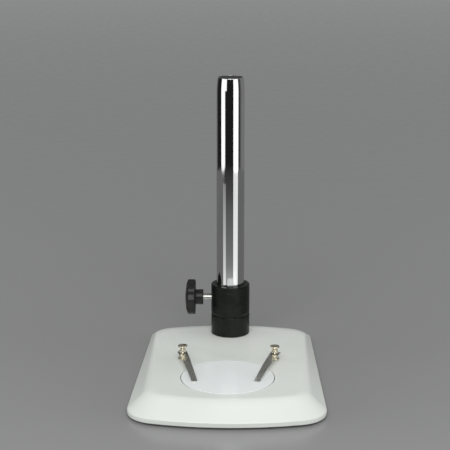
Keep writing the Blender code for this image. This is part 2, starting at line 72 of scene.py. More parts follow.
GAP = 0.0003                  # clearance that the frame leaves between pieces
OVERCUT = 0.001               # how far a cutter reaches past the face it cuts
DECK_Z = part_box("pillar")[0].z - GAP
PILLAR_Y = middle("pillar").y
PILLAR_RADIUS = (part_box("pillar")[1].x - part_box("pillar")[0].x) / 2
PILLAR_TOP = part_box("pillar")[1].z
COLLAR_RADIUS = (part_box("clamp_collar")[1].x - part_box("clamp_collar")[0].x) / 2
COLLAR_BORE = PILLAR_RADIUS + GAP
CLAMP_Z = middle("clamp_knob").z
KNOB_RADIUS = (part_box("clamp_knob")[1].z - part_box("clamp_knob")[0].z) / 2
STAGE = middle("stage_plate")
STAGE_RADIUS = (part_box("stage_plate")[1].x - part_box("stage_plate")[0].x) / 2
BASE_LOW, BASE_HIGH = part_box("base_casting")
CLIP_X = middle("right_clip_post").x
CLIP_Y = middle("right_clip_post").y
CLIP_TURNS = {"left": math.radians(12.8), "right": -math.radians(15.7)}
FEET = ["front_left_foot", "front_right_foot", "back_left_foot", "back_right_foot"]
FLANGE_SCREWS = ["flange_screw_1", "flange_screw_2", "flange_screw_3"]
BOLT_RADIUS = 0.004
BOLT_WASHER_BORE = 0.0044
BOLT_HOLE = 0.0045            # radius of the hole through the deck
SCREW_RADIUS = 0.0015
SCREW_HOLE = 0.0018
CLIP_STUD_RADIUS = 0.0020
CLIP_BORE = 0.0023


# ---------------------------------------------------------------- material helpers
def map_range(tree, value, start, end, low=0.0, high=1.0):
    """Maps a value in a node tree from start..end onto low..high."""
    node = tree.nodes.new("ShaderNodeMapRange")
    for socket, number in (("From Min", start), ("From Max", end), ("To Min", low), ("To Max", high)):
        node.inputs[socket].default_value = number
    tree.links.new(value, node.inputs["Value"])
    return node.outputs["Result"]


class Finish:
    """A Principled material under construction, textured in each piece's own coordinates."""

    def __init__(self, name, colour, roughness, metallic=0.0):
        self.material = bpy.data.materials.new(name)
        self.material.use_nodes = True
        self.nodes = self.material.node_tree.nodes
        self.links = self.material.node_tree.links
        self.shader = self.nodes["Principled BSDF"]
        self.coords = self.nodes.new("ShaderNodeTexCoord")
        self.set("Base Color", (*colour, 1.0))
        self.set("Roughness", roughness)
        self.set("Metallic", metallic)

    def set(self, socket, value):
        self.shader.inputs[socket].default_value = value

    def noise(self, scale, detail=4.0, stretch=(1.0, 1.0, 1.0)):
        """Noise with its cycles per metre along each axis."""
        mapping = self.nodes.new("ShaderNodeMapping")
        mapping.inputs["Scale"].default_value = stretch
        self.links.new(self.coords.outputs["Object"], mapping.inputs["Vector"])
        texture = self.nodes.new("ShaderNodeTexNoise")
        texture.inputs["Scale"].default_value = scale
        texture.inputs["Detail"].default_value = detail
        self.links.new(mapping.outputs["Vector"], texture.inputs["Vector"])
        return texture.outputs["Fac"]

    def rings(self, pitch, distortion):
        """Turning marks: bands up the axis with the given pitch."""
        texture = self.nodes.new("ShaderNodeTexWave")
        texture.wave_type = "BANDS"
        texture.bands_direction = "Z"
        texture.inputs["Scale"].default_value = math.pi / (10.0 * pitch)
        texture.inputs["Distortion"].default_value = distortion
        self.links.new(self.coords.outputs["Object"], texture.inputs["Vector"])
        return texture.outputs["Fac"]

    def spread(self, value, low, high, start=0.3, end=0.7):
        """Maps a texture from its usual range onto low to high."""
        return map_range(self.material.node_tree, value, start, end, low, high)

    def tint(self, value, first, second, start=0.35, end=0.65):
        """Drives the base colour between two colours."""
        ramp = self.nodes.new("ShaderNodeValToRGB")
        ramp.color_ramp.elements[0].position = start
        ramp.color_ramp.elements[0].color = (*first, 1.0)
        ramp.color_ramp.elements[1].position = end
        ramp.color_ramp.elements[1].color = (*second, 1.0)
        self.links.new(value, ramp.inputs["Fac"])
        self.links.new(ramp.outputs["Color"], self.shader.inputs["Base Color"])
        return ramp.outputs["Color"]

    def overlay(self, base, value, colour):
        """Lays a second colour over the base colour where the value is high."""
        mix = self.nodes.new("ShaderNodeMix")
        mix.data_type = "RGBA"
        mix.inputs["B"].default_value = (*colour, 1.0)
        self.links.new(base, mix.inputs["A"])
        self.links.new(value, mix.inputs["Factor"])
        self.links.new(mix.outputs["Result"], self.shader.inputs["Base Color"])

    def rough(self, value, low, high):
        self.links.new(self.spread(value, low, high), self.shader.inputs["Roughness"])

    def bump(self, value, depth, strength=1.0):
        node = self.nodes.new("ShaderNodeBump")
        node.inputs["Distance"].default_value = depth
        node.inputs["Strength"].default_value = strength
        self.links.new(value, node.inputs["Height"])
        self.links.new(node.outputs["Normal"], self.shader.inputs["Normal"])

    def edges(self, start, end, amount):
        """How far a point stands on an edge, from 0 to the amount; it places the painted edge highlights."""
        geometry = self.nodes.new("ShaderNodeNewGeometry")
        return self.spread(geometry.outputs["Pointiness"], 0.0, amount, start, end)


def white_paint():
    """Sprayed enamel: faint mottling, orange peel, and a painted highlight that makes the edges lighter."""
    finish = Finish("white_paint", (0.70, 0.73, 0.69), 0.36)
    finish.set("Coat Weight", 0.35)
    finish.set("Coat Roughness", 0.16)
    base = finish.tint(finish.noise(9.0, 5.0), (0.665, 0.700, 0.655), (0.705, 0.735, 0.695))
    # painted highlight: a lighter colour laid over sharp edges
    finish.overlay(base, finish.edges(0.52, 0.58, 0.25), (0.80, 0.82, 0.78))
    finish.rough(finish.noise(60.0, 3.0), 0.32, 0.42)
    finish.bump(finish.noise(420.0, 2.0), 0.00003, 0.35)
    return finish.material


def plate_white():
    """Smooth opal plate with hair scratches from slides."""
    finish = Finish("plate_white", (0.78, 0.81, 0.82), 0.24)
    finish.set("Coat Weight", 0.25)
    finish.set("Coat Roughness", 0.10)
    scratches = finish.noise(320.0, 5.0, (1.0, 0.05, 1.0))
    base = finish.tint(finish.noise(14.0, 4.0), (0.770, 0.808, 0.800), (0.795, 0.828, 0.820))
    finish.overlay(base, finish.spread(scratches, 0.0, 0.03, 0.60, 0.80), (0.60, 0.62, 0.62))
    finish.rough(scratches, 0.23, 0.27)
    return finish.material


def chrome():
    """Hard chrome, with polishing marks round it and faint handling marks."""
    finish = Finish("chrome", (0.80, 0.80, 0.80), 0.05, 1.0)
    smears = finish.noise(26.0, 5.0, (1.0, 1.0, 0.35))
    finish.tint(smears, (0.76, 0.765, 0.77), (0.83, 0.83, 0.825))
    finish.rough(smears, 0.035, 0.075)
    finish.bump(finish.noise(30.0, 3.0, (1.0, 1.0, 60.0)), 0.000004, 0.25)
    return finish.material


def polished_steel():
    """The bright clamp screw."""
    finish = Finish("polished_steel", (0.46, 0.46, 0.44), 0.34, 1.0)
    marks = finish.noise(180.0, 3.0, (1.0, 1.0, 12.0))
    finish.tint(marks, (0.42, 0.42, 0.40), (0.50, 0.50, 0.48))
    finish.rough(marks, 0.28, 0.40)
    finish.bump(marks, 0.000006, 0.4)
    return finish.material


def black_anodised():
    """Black anodised aluminium with fine turned lines, and lightly rubbed edges lightened further by a
    painted highlight.
    """
    finish = Finish("black_anodised", (0.008, 0.010, 0.008), 0.28)
    finish.set("Specular IOR Level", 0.20)
    base = finish.tint(finish.noise(120.0, 5.0), (0.0050, 0.0068, 0.0052), (0.0095, 0.0115, 0.0092))
    # lightly rubbed edges with a painted highlight: a lighter grey laid over sharp edges
    finish.overlay(base, finish.edges(0.53, 0.62, 0.25), (0.045, 0.047, 0.045))
    finish.rough(finish.noise(300.0, 3.0, (1.0, 1.0, 8.0)), 0.24, 0.32)
    finish.bump(finish.rings(0.0004, 0.6), 0.000006, 0.45)
    return finish.material


def bare_aluminium():
    """Cut aluminium in the mouth of the clamp hole."""
    finish = Finish("bare_aluminium", (0.62, 0.62, 0.61), 0.30, 1.0)
    marks = finish.noise(900.0, 3.0)
    finish.tint(marks, (0.54, 0.54, 0.53), (0.70, 0.70, 0.69))
    finish.rough(marks, 0.22, 0.38)
    return finish.material


def black_plastic():
    """Moulded plastic with a fine eroded grain."""
    finish = Finish("black_plastic", (0.014, 0.015, 0.014), 0.36)
    finish.set("Specular IOR Level", 0.28)
    base = finish.tint(finish.noise(90.0, 4.0), (0.010, 0.011, 0.010), (0.019, 0.020, 0.019))
    # painted highlight: a lighter grey laid over sharp edges
    finish.overlay(base, finish.edges(0.52, 0.60, 0.4), (0.050, 0.050, 0.050))
    finish.rough(finish.noise(500.0, 3.0), 0.28, 0.42)
    finish.bump(finish.noise(1500.0, 3.0), 0.00002, 0.35)
    return finish.material


def zinc_steel():
    """Zinc plating with its faint yellow and blue cast."""
    finish = Finish("zinc_steel", (0.56, 0.57, 0.56), 0.32, 1.0)
    grain = finish.noise(260.0, 4.0)
    finish.tint(grain, (0.50, 0.52, 0.56), (0.62, 0.61, 0.54))
    finish.rough(finish.noise(700.0, 3.0), 0.26, 0.42)
    finish.bump(grain, 0.00001, 0.4)
    return finish.material


def nickel():
    """Warm nickel plate over turned brass."""
    finish = Finish("nickel", (0.80, 0.74, 0.60), 0.14, 1.0)
    stains = finish.noise(240.0, 4.0)
    finish.tint(stains, (0.74, 0.67, 0.52), (0.86, 0.81, 0.68))
    finish.rough(stains, 0.10, 0.20)
    finish.bump(finish.rings(0.0003, 0.4), 0.000002, 0.2)
    return finish.material


def spring_steel():
    """Blue-grey spring steel, ground along the leaf."""
    finish = Finish("spring_steel", (0.58, 0.58, 0.54), 0.24, 1.0)
    streaks = finish.noise(90.0, 5.0, (14.0, 1.0, 1.0))
    finish.tint(streaks, (0.57, 0.57, 0.53), (0.72, 0.715, 0.665))
    finish.rough(streaks, 0.20, 0.30)
    finish.bump(streaks, 0.000010, 0.5)
    return finish.material


def rubber():
    """Matt rubber with a dusty bloom."""
    finish = Finish("rubber", (0.020, 0.020, 0.020), 0.82)
    bloom = finish.noise(160.0, 5.0)
    finish.tint(bloom, (0.014, 0.014, 0.014), (0.034, 0.033, 0.032))
    finish.rough(bloom, 0.72, 0.92)
    finish.bump(finish.noise(1200.0, 3.0), 0.00004, 0.5)
    return finish.material


def nylon():
    """Dark nylon slip ring."""
    finish = Finish("nylon", (0.020, 0.020, 0.020), 0.5)
    grain = finish.noise(800.0, 3.0)
    finish.tint(grain, (0.016, 0.016, 0.016), (0.025, 0.025, 0.024))
    finish.rough(grain, 0.42, 0.60)
    return finish.material


def cut_steel():
    """Unpainted screw ends and the plug in the foot of the pillar."""
    finish = Finish("cut_steel", (0.40, 0.40, 0.40), 0.4, 1.0)
    grain = finish.noise(600.0, 4.0)
    finish.tint(grain, (0.33, 0.33, 0.33), (0.47, 0.46, 0.45))
    finish.rough(grain, 0.32, 0.50)
    return finish.material


FINISHES = {
    "white_paint": white_paint(), "plate_white": plate_white(), "chrome": chrome(),
    "polished_steel": polished_steel(), "black_anodised": black_anodised(),
    "bare_aluminium": bare_aluminium(), "black_plastic": black_plastic(), "zinc_steel": zinc_steel(),
    "nickel": nickel(), "spring_steel": spring_steel(), "rubber": rubber(), "nylon": nylon(),
    "cut_steel": cut_steel(),
}


# ---------------------------------------------------------------- mesh helpers
def soften(corners, steps=5):
    """Turns each corner that carries a radius as its third value into an arc."""
    points = []
    for i, corner in enumerate(corners):
        here = Vector(corner[:2])
        if len(corner) < 3:
            points.append(tuple(here))
            continue
        before = (Vector(corners[i - 1][:2]) - here).normalized()
        after = (Vector(corners[(i + 1) % len(corners)][:2]) - here).normalized()
        half = before.angle(after) / 2
        centre = here + (before + after).normalized() * (corner[2] / math.sin(half))
        first = here + before * (corner[2] / math.tan(half)) - centre
        last = here + after * (corner[2] / math.tan(half)) - centre
        for step in range(steps + 1):
            points.append(tuple(centre + first.lerp(last, step / steps).normalized() * corner[2]))
    return points


def place(name, bm, at=(0.0, 0.0, 0.0), turn=(0.0, 0.0, 0.0), finish=None):
    """Makes an object of a bmesh, shaded smooth except at its real edges."""
    bmesh.ops.recalc_face_normals(bm, faces=bm.faces[:])
    mesh = bpy.data.meshes.new(name)
    bm.to_mesh(mesh)
    bm.free()
    if finish:
        mesh.materials.append(FINISHES[finish])
    item = bpy.data.objects.new(name, mesh)
    bpy.context.scene.collection.objects.link(item)
    item.location = at
    item.rotation_euler = turn
    shade(item)
    return item


def shade(item, sharp=30.0):
    item.data.shade_smooth()
    item.data.set_sharp_from_angle(angle=math.radians(sharp))


def add_turned(bm, profile, segments, at=(0.0, 0.0)):
    """Spins (radius, height) points round Z; the profile ends on the axis or closes on itself."""
    rings = []
    for radius, height in profile:
        if radius < 1e-9:
            rings.append([bm.verts.new((at[0], at[1], height))])
            continue
        turns = [2 * math.pi * i / segments for i in range(segments)]
        rings.append([bm.verts.new((at[0] + radius * math.cos(t), at[1] + radius * math.sin(t), height))
                      for t in turns])
    pairs = list(zip(rings, rings[1:]))
    if len(rings[0]) > 1:
        pairs.append((rings[-1], rings[0]))
    for first, second in pairs:
        for i in range(segments):
            j = (i + 1) % segments
            corners = [first[i % len(first)], first[j % len(first)],
                       second[j % len(second)], second[i % len(second)]]
            corners = list(dict.fromkeys(corners))
            if len(corners) > 2:
                bm.faces.new(corners)


def turned(name, profile, at, finish=None, segments=128, turn=(0.0, 0.0, 0.0)):
    bm = bmesh.new()
    add_turned(bm, profile, segments)
    return place(name, bm, at, turn, finish)


def prism(name, outline, low, high, at=(0.0, 0.0, 0.0), finish=None):
    """A straight solid over a flat outline."""
    bm = bmesh.new()
    face = bm.faces.new([bm.verts.new((x, y, low)) for x, y in outline])
    grown = bmesh.ops.extrude_face_region(bm, geom=[face])
    top = [part for part in grown["geom"] if isinstance(part, bmesh.types.BMVert)]
    bmesh.ops.translate(bm, verts=top, vec=(0, 0, high - low))
    return place(name, bm, at, finish=finish)


def lofted(name, rings, at=(0.0, 0.0, 0.0), finish=None, turn=(0.0, 0.0, 0.0)):
    """A closed solid skinned over equal rings of points."""
    bm = bmesh.new()
    loops = [[bm.verts.new(point) for point in ring] for ring in rings]
    count = len(loops[0])
    for lower, upper in zip(loops, loops[1:]):
        for i in range(count):
            j = (i + 1) % count
            bm.faces.new((lower[i], lower[j], upper[j], upper[i]))
    bm.faces.new(list(reversed(loops[0])))
    bm.faces.new(loops[-1])
    return place(name, bm, at, turn, finish)


def combine(target, tool, operation="DIFFERENCE", sharp=30.0):
    """Applies one Boolean at once, keeping the tool's own material on the faces it makes."""
    bpy.context.view_layer.update()
    modifier = target.modifiers.new("combine", "BOOLEAN")
    modifier.operation = operation
    modifier.solver = "EXACT"
    modifier.material_mode = "TRANSFER"
    modifier.object = tool
    graph = bpy.context.evaluated_depsgraph_get()
    mesh = bpy.data.meshes.new_from_object(target.evaluated_get(graph), depsgraph=graph)
    target.modifiers.clear()
    target.data = mesh
    bpy.data.objects.remove(tool, do_unlink=True)
    shade(target, sharp)


def even_normals(item):
    """Keeps large flat faces flat where they meet small rounds."""
    modifier = item.modifiers.new("even_normals", "WEIGHTED_NORMAL")
    modifier.keep_sharp = True


def hexagon(flats):
    corner = flats / math.sqrt(3)
    turns = [math.radians(60 * i) for i in range(6)]
    return [(corner * math.cos(turn), corner * math.sin(turn)) for turn in turns]


def stands_for(item, body, slot, *nodes):
    """Puts a finished piece on its body, in its slot, in place of its CAD nodes."""
    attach(item, body)
    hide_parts(*nodes)
    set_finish(item, slot)


def turned_for(node, name, profile, at, finish, segments, body="stand", turn=(0.0, 0.0, 0.0)):
    """A turned piece in place of one CAD node, in the slot that its finish is named after."""
    stands_for(turned(name, profile, at, finish, segments, turn), body, finish, node)


# ---------------------------------------------------------------- base casting
WAIST_Y = -0.002              # where the half widths of the two outlines are taken
LIP_HEIGHT = 0.0052
APRON_RUN = 0.0180            # how far the apron leans in on its way up
APRON_ROUND = 0.014
WALL = 0.0045
ROOF = 0.006
PILLAR_BOSS_RADIUS = 0.026
PILLAR_BOSS_DEPTH = 0.014
STAGE_BOSS_RADIUS = 0.0548
STAGE_BOSS_DEPTH = 0.0085
CLIP_BOSS_RADIUS = 0.007
CLIP_BOSS_DEPTH = 0.010
FOOT_BOSS_RADIUS = 0.0105
RIB_X = 0.040
RIB_HALF_WIDTH = 0.0015
RIB_LOW = 0.0125
STAGE_RECESS_DEPTH = 0.0048
STAGE_CLEARANCE = 0.0008      # between the plate and the wall of its recess
FINGER_HOLE = 0.008
FOOT_HOLE_TOP = 0.0157        # above the table
# the two outlines, each of four arcs, at the foot of the apron and at its top
RIM = {
    "half_width": 0.1009, "taper": 0.039,
    "front": BASE_LOW.y, "front_arc": 0.321, "front_corner": 0.034,
    "back": BASE_HIGH.y, "back_arc": 1.2, "back_corner": 0.018,
}
DECK = {
    "half_width": 0.0863, "taper": -0.020,
    "front": BASE_LOW.y + 0.0177, "front_arc": 0.239, "front_corner": 0.0224,
    "back": BASE_HIGH.y - 0.0308, "back_arc": 0.2232, "back_corner": 0.0268,
}


def corner_centre(shape, arc_y, arc_radius, radius, side):
    """Centre of the corner that rounds a side wall into the front (side -1) or back (side 1) arc."""
    normal = Vector((math.cos(shape["taper"]), math.sin(shape["taper"])))
    along = Vector((-normal.y, normal.x))
    inward = normal * (normal.dot(Vector((shape["half_width"], WAIST_Y))) - radius)
    to_start = inward - Vector((0.0, arc_y))
    half_b = to_start.dot(along)
    c = to_start.length_squared - (arc_radius - radius) ** 2
    return inward + along * (-half_b + side * math.sqrt(half_b * half_b - c))


def arc_points(centre, radius, start, end, count):
    step = (end - start) / (count - 1)
    return [Vector((centre[0] + radius * math.cos(start + step * i),
                    centre[1] + radius * math.sin(start + step * i))) for i in range(count)]


def outline(shape, inset):
    """Points round one outline, moved inwards by the inset."""
    front_y = shape["front"] + shape["front_arc"]
    back_y = shape["back"] - shape["back_arc"]
    front = corner_centre(shape, front_y, shape["front_arc"], shape["front_corner"], -1)
    back = corner_centre(shape, back_y, shape["back_arc"], shape["back_corner"], 1)
    front_turn = math.atan2(front.y - front_y, front.x)
    back_turn = math.atan2(back.y - back_y, back.x)
    side_turn = shape["taper"]
    right = arc_points((0.0, front_y), shape["front_arc"] - inset, -math.pi / 2, front_turn, 20)
    right += arc_points(front, shape["front_corner"] - inset, front_turn, side_turn, 28)[1:]
    side_end = arc_points(back, shape["back_corner"] - inset, side_turn, back_turn, 28)
    side_start = right[-1]
    right += [side_start.lerp(side_end[0], i / 12) for i in range(1, 12)]
    right += side_end
    right += arc_points((0.0, back_y), shape["back_arc"] - inset, back_turn, math.pi / 2, 16)[1:]
    left = [Vector((-point.x, point.y)) for point in reversed(right[1:-1])]
    return right + left


def base_ring(share, z, inset=0.0):
    """A ring part of the way from the rim (share 0) to the edge of the deck (share 1)."""
    pairs = zip(outline(RIM, inset), outline(DECK, inset))
    return [(*rim.lerp(deck, share), z) for rim, deck in pairs]


def apron_profile():
    """(share, height) up the outside: lip, softened crease, slope and the round into the deck."""
    lip_top = BASE_LOW.z + LIP_HEIGHT
    slope = math.atan2(DECK_Z - lip_top, APRON_RUN)
    shoulder = APRON_RUN + APRON_ROUND * math.tan(slope / 2)
    half_way = (APRON_RUN * 0.5, lip_top + (DECK_Z - lip_top) * 0.5)
    points = soften([(0.0, BASE_LOW.z + 0.0012), (0.0, lip_top, 0.0016), half_way], 6)[:-1]
    for i in range(15):
        angle = slope * (1 - i / 14)
        points.append((shoulder - APRON_ROUND * math.sin(angle),
                       DECK_Z - APRON_ROUND + APRON_ROUND * math.cos(angle)))
    return [(run / APRON_RUN, z) for run, z in points]


def base_cavity():
    """The hollow under the deck, less its bosses and ribs."""
    roof_z = DECK_Z - ROOF
    rings = [base_ring(0.0, BASE_LOW.z - OVERCUT, WALL), base_ring(0.0, BASE_LOW.z + LIP_HEIGHT, WALL),
             base_ring(0.94, roof_z - 0.0010, WALL), base_ring(0.98, roof_z - 0.0003, WALL),
             base_ring(1.03, roof_z, WALL)]
    cavity = lofted("cavity", rings)
    posts = [(PILLAR_BOSS_RADIUS, DECK_Z - PILLAR_BOSS_DEPTH, 0.0, PILLAR_Y),
             (STAGE_BOSS_RADIUS, DECK_Z - STAGE_BOSS_DEPTH, 0.0, STAGE.y)]
    posts += [(CLIP_BOSS_RADIUS, DECK_Z - CLIP_BOSS_DEPTH, side * CLIP_X, CLIP_Y) for side in (-1, 1)]
    posts += [(FOOT_BOSS_RADIUS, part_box(foot)[1].z + GAP, middle(foot).x, middle(foot).y) for foot in FEET]
    for radius, low, x, y in posts:
        profile = soften([(0.0, low), (radius, low, 0.0008), (radius, DECK_Z), (0.0, DECK_Z)], 3)
        combine(cavity, turned("boss", profile, (x, y, 0.0), None, 96))
    for x in (-RIB_X, RIB_X):
        left = x - RIB_HALF_WIDTH
        right = x + RIB_HALF_WIDTH
        sides = [(left, BASE_LOW.y), (right, BASE_LOW.y), (right, BASE_HIGH.y), (left, BASE_HIGH.y)]
        combine(cavity, prism("rib", sides, RIB_LOW, DECK_Z))
    return cavity


def deck_openings():
    """The stage recess and every hole through the deck, with the small rounds at their mouths."""
    through = DECK_Z + OVERCUT
    floor = DECK_Z - STAGE_RECESS_DEPTH
    radius = STAGE_RADIUS + STAGE_CLEARANCE
    lip = 0.0004
    bm = bmesh.new()
    recess = [(0.0, 0.0), (FINGER_HOLE, 0.0), (FINGER_HOLE, floor), (radius, floor), (radius, DECK_Z - lip),
              (radius + lip * 0.3, DECK_Z - lip * 0.3), (radius + lip, DECK_Z), (radius + lip, through),
              (0.0, through)]
    add_turned(bm, recess, 256, (STAGE.x, STAGE.y))
    pins = [(0.0, PILLAR_Y, BOLT_HOLE, through)]
    pins += [(middle(node).x, middle(node).y, SCREW_HOLE, through) for node in FLANGE_SCREWS]
    pins += [(side * CLIP_X, CLIP_Y, CLIP_BORE, through) for side in (-1, 1)]
    pins += [(middle(foot).x, middle(foot).y, SCREW_HOLE, FOOT_HOLE_TOP) for foot in FEET]
    for x, y, radius, high in pins:
        add_turned(bm, [(0.0, 0.0), (radius, 0.0), (radius, high), (0.0, high)], 32, (x, y))
    return place("deck_openings", bm)


def base_shell():
    edge = 0.0012
    rings = [base_ring(0.0, BASE_LOW.z + edge * (1 - math.cos(turn)), edge * (1 - math.sin(turn)))
             for turn in (0.0, 0.4, 0.8, 1.2)]
    rings += [base_ring(share, z) for share, z in apron_profile()]
    shell = lofted("base_shell", rings, finish="white_paint")
    combine(shell, base_cavity())
    combine(shell, deck_openings(), sharp=24.0)
    even_normals(shell)
    stands_for(shell, "stand", "white_paint", "base_casting")


# ---------------------------------------------------------------- feet and fixings below the deck
FOOT_RECESS_RADIUS = 0.0044   # takes the head of the foot's screw
FOOT_RECESS_TOP = 0.0036
HEAD_UNDERSIDE = 0.0033       # of a foot's screw
CAP_HEAD_HEIGHT = 0.003


def foot_and_screw(node):
    at = middle(node)
    low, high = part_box(node)
    radius = (high.x - low.x) / 2
    height = high.z
    profile = soften([(SCREW_HOLE, FOOT_RECESS_TOP, 0.0002), (FOOT_RECESS_RADIUS, FOOT_RECESS_TOP, 0.0003),
                      (FOOT_RECESS_RADIUS, 0.0, 0.0003), (radius - 0.0004, 0.0, 0.0008),
                      (radius, height * 0.5), (radius - 0.0003, height, 0.0006), (SCREW_HOLE, height)], 4)
    turned_for(node, node + "_pad", profile, (at.x, at.y, 0.0), "rubber", 96)
    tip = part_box(node + "_screw")[1].z
    profile = soften([(0.0, 0.0008), (0.0026, 0.0010, 0.0006), (0.0037, 0.0019, 0.0004),
                      (0.0038, HEAD_UNDERSIDE, 0.0002), (SCREW_RADIUS, HEAD_UNDERSIDE),
                      (SCREW_RADIUS, tip - 0.0006), (0.0009, tip), (0.0, tip)], 4)
    screw = turned(node + "_pan_screw", profile, (at.x, at.y, 0.0), "zinc_steel", 64)
    arm = 0.0023
    half = 0.0004
    cross = [(arm, -half), (arm, half), (half, half), (half, arm), (-half, arm), (-half, half),
             (-arm, half), (-arm, -half), (-half, -half), (-half, -arm), (half, -arm), (half, -half)]
    combine(screw, prism("slot", cross, 0.0, 0.0021, (at.x, at.y, 0.0)))
    even_normals(screw)
    stands_for(screw, "stand", "zinc_steel", node + "_screw")


def chamfered_hexagon(name, flats, low, high, at, finish):
    """A hexagon whose corners are turned off at both ends."""
    body = prism(name, hexagon(flats), low, high, at, finish)
    corner = flats / math.sqrt(3)
    drop = (corner - flats / 2) * 0.8
    wide = corner + 0.0001
    face = flats * 0.475
    profile = [(0.0, low), (face, low), (wide, low + drop), (wide, high - drop), (face, high), (0.0, high)]
    combine(body, turned("chamfer", profile, at, finish, 96), "INTERSECT", 12.0)
    return body


def pillar_fixings():
    low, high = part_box("pillar_bolt")
    washer_low, washer_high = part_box("pillar_bolt_washer")
    at = (0.0, PILLAR_Y, 0.0)
    outer = (washer_high.x - washer_low.x) / 2
    profile = soften([(BOLT_WASHER_BORE, washer_low.z, 0.0002), (outer, washer_low.z, 0.0003),
                      (outer, washer_high.z, 0.0003), (BOLT_WASHER_BORE, washer_high.z, 0.0002)], 3)
    turned_for("pillar_bolt_washer", "pillar_bolt_plain_washer", profile, at, "zinc_steel", 96)
    head_top = washer_low.z - GAP
    bolt = chamfered_hexagon("pillar_hex_bolt", high.y - low.y, low.z, head_top, at, "zinc_steel")
    shank = turned("shank", [(0.0, head_top - OVERCUT), (BOLT_RADIUS, head_top - OVERCUT),
                             (BOLT_RADIUS, high.z - 0.0006), (0.0034, high.z), (0.0, high.z)],
                   at, "cut_steel", 48)
    combine(bolt, shank, "UNION", 20.0)
    stands_for(bolt, "stand", "zinc_steel", "pillar_bolt")
    for node in FLANGE_SCREWS:
        low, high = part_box(node)
        x, y = middle(node).x, middle(node).y
        head = (high.x - low.x) / 2
        profile = soften([(0.0, low.z), (head, low.z, 0.0004), (head, low.z + CAP_HEAD_HEIGHT, 0.0002),
                          (SCREW_RADIUS, low.z + CAP_HEAD_HEIGHT), (SCREW_RADIUS, high.z - 0.0005),
                          (0.0010, high.z), (0.0, high.z)], 4)
        screw = turned(node + "_cap_screw", profile, (x, y, 0.0), "zinc_steel", 64)
        combine(screw, prism("socket", hexagon(0.0025), low.z - OVERCUT, low.z + 0.0018, (x, y, 0.0)))
        even_normals(screw)
        stands_for(screw, "stand", "zinc_steel", node)


# ---------------------------------------------------------------- pillar
PILLAR_BORE = 0.0135
TAPER_LENGTH = 0.011
TAPER = 0.0014                # how much the radius loses towards the top
TAPER_ROUND = 0.12            # radius of the blend from the straight tube into the taper
CAP_THICKNESS = 0.0022        # of the cap's top
CAP_DEPTH = 0.012             # of its skirt in the tube
CAP_WALL = 0.0016


def pillar():
    at = (0.0, PILLAR_Y, DECK_Z)
    low = GAP
    end = PILLAR_TOP - DECK_Z
    tip = PILLAR_RADIUS - TAPER
    profile = soften([(PILLAR_BORE, low), (PILLAR_RADIUS, low, 0.0005),
                      (PILLAR_RADIUS, end - TAPER_LENGTH, TAPER_ROUND), (tip, end, 0.0005),
                      (PILLAR_BORE, end, 0.0002)], 8)
    turned_for("pillar", "pillar_tube", profile, at, "chrome", 192)
    radius = PILLAR_BORE - GAP
    profile = soften([(0.0, end - CAP_THICKNESS), (radius - CAP_WALL, end - CAP_THICKNESS, 0.0003),
                      (radius - CAP_WALL, end - CAP_DEPTH), (radius - 0.0004, end - CAP_DEPTH),
                      (radius, end - 0.0112), (radius, end - 0.0001, 0.0006), (radius * 0.5, end + 0.00005),
                      (0.0, end + 0.0001)], 5)
    turned_for("pillar_end_cap", "pillar_push_cap", profile, at, "black_plastic", 128)


# ---------------------------------------------------------------- collar and clamp
FLANGE_TAP_DEPTH = 0.013
STUD_BORE = 0.0043
THREAD_PITCH = 0.00125
THREAD_DEPTH = 0.0006
KNOB_LOBES = 8
KNOB_FLUTE = 0.0016
KNOB_HUB_RADIUS = 0.0090
KNOB_HUB_LENGTH = 0.0092
KNOB_DOME = 0.0032            # height of the domed front over the disc's rim
KNOB_SOCKET_DEPTH = 0.0043    # past the back of the disc


def lower_ring():
    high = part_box("pillar_flange")[1].z - DECK_Z
    profile = soften([(COLLAR_BORE, GAP), (COLLAR_RADIUS, GAP, 0.0004), (COLLAR_RADIUS, high, 0.0006),
                      (COLLAR_BORE, high, 0.0003)], 5)
    ring = turned("lower_ring", profile, (0.0, PILLAR_Y, DECK_Z), "black_anodised", 192)
    for node in FLANGE_SCREWS:
        hole = turned("tap", [(0.0, -OVERCUT), (SCREW_HOLE, -OVERCUT), (SCREW_HOLE, FLANGE_TAP_DEPTH),
                              (0.0, FLANGE_TAP_DEPTH)], (middle(node).x, middle(node).y, DECK_Z), None, 32)
        combine(ring, hole)
    even_normals(ring)
    stands_for(ring, "stand", "black_anodised", "pillar_flange")


def groove(depth, width, height):
    """Profile points of a shallow turned groove, from above its centre to below."""
    radius = COLLAR_RADIUS
    return [(radius, height + width), (radius - depth, height + width * 0.4),
            (radius - depth, height - width * 0.4), (radius, height - width)]


